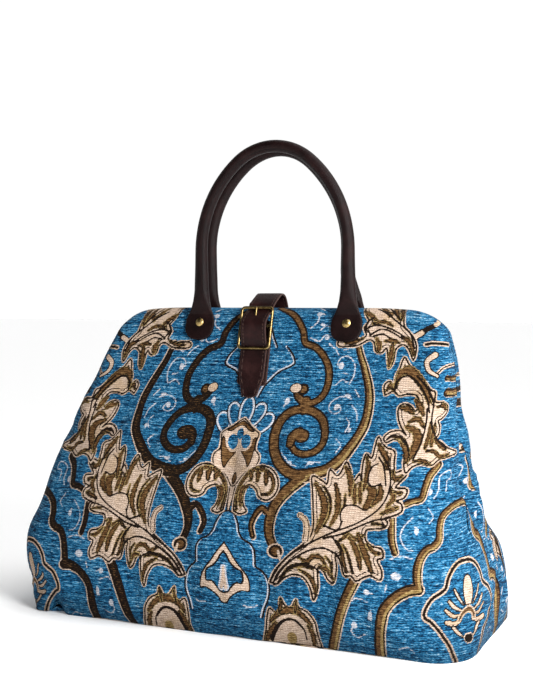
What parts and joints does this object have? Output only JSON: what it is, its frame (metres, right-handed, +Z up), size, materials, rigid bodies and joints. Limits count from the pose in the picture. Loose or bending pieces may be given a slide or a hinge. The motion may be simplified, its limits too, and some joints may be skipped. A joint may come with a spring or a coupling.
{
  "type": "carpet bag",
  "caption": "Soft carpet bag in woven damask cloth on a hinged steel frame, with upright rolled leather handles and a buckled leather strap over the mouth.",
  "frame": {"origin": "centre of the flat base, on the surface that the bag stands on", "axes": "+X along the bag to the right as seen from the front, +Y to the rear, +Z up; the buckle is on the front, at -Y"},
  "size_m": [0.491, 0.222, 0.489],
  "materials": {
    "carpet_cloth": "chenille jacquard weave, blue ground with cream and olive-brown scrolls",
    "lining_cloth": "plain woven cotton, dark navy",
    "board": "grey-brown fibre board",
    "leather": "dark burgundy-brown, semi-matt, fine grain",
    "brass": "antique, darkened in the recesses",
    "frame_steel": "bright zinc-plated strip"
  },
  "bodies": {
    "bag": {"front_panel": "carpet_cloth", "rear_panel": "carpet_cloth", "left_gusset": "carpet_cloth", "right_gusset": "carpet_cloth", "bottom_panel": "carpet_cloth", "base_board": "board", "lining": "lining_cloth", "front_fold": "carpet_cloth", "rear_fold": "carpet_cloth", "left_hinge_pin": "frame_steel", "right_hinge_pin": "frame_steel"},
    "front_half": {"front_frame": "frame_steel", "front_casing": "carpet_cloth", "front_handle_tab_left": "leather", "front_handle_tab_right": "leather", "front_handle_rivets": "brass", "buckle_chape": "leather", "buckle_frame": "brass"},
    "rear_half": {"rear_frame": "frame_steel", "rear_casing": "carpet_cloth", "rear_handle_tab_left": "leather", "rear_handle_tab_right": "leather", "rear_handle_rivets": "brass", "closure_strap": "leather"},
    "front_grip": {"front_handle_grip": "leather"},
    "rear_grip": {"rear_handle_grip": "leather"},
    "buckle_prong": {"buckle_prong": "brass"}
  },
  "joints": [
    {"name": "front_frame_hinge", "type": "hinge", "parent": "bag", "child": "front_half", "pos_m": [0, 0, 0.236], "axis": [1, 0, 0], "range_deg": [0, 75], "deforming": ["front_fold", "closure_strap"]},
    {"name": "rear_frame_hinge", "type": "hinge", "parent": "bag", "child": "rear_half", "pos_m": [0, 0, 0.236], "axis": [-1, 0, 0], "range_deg": [0, 75], "deforming": ["rear_fold"]},
    {"name": "front_handle_swing", "type": "hinge", "parent": "front_half", "child": "front_grip", "pos_m": [0.01, -0.01672, 0.32281], "axis": [1, 0, 0], "range_deg": [-3, 90]},
    {"name": "rear_handle_swing", "type": "hinge", "parent": "rear_half", "child": "rear_grip", "pos_m": [0.004, 0.01672, 0.32281], "axis": [-1, 0, 0], "range_deg": [-3, 90]},
    {"name": "buckle_prong_pivot", "type": "hinge", "parent": "front_half", "child": "buckle_prong", "pos_m": [-0.005, -0.02593, 0.29974], "axis": [1, 0, 0], "range_deg": [0, 100]}
  ]
}
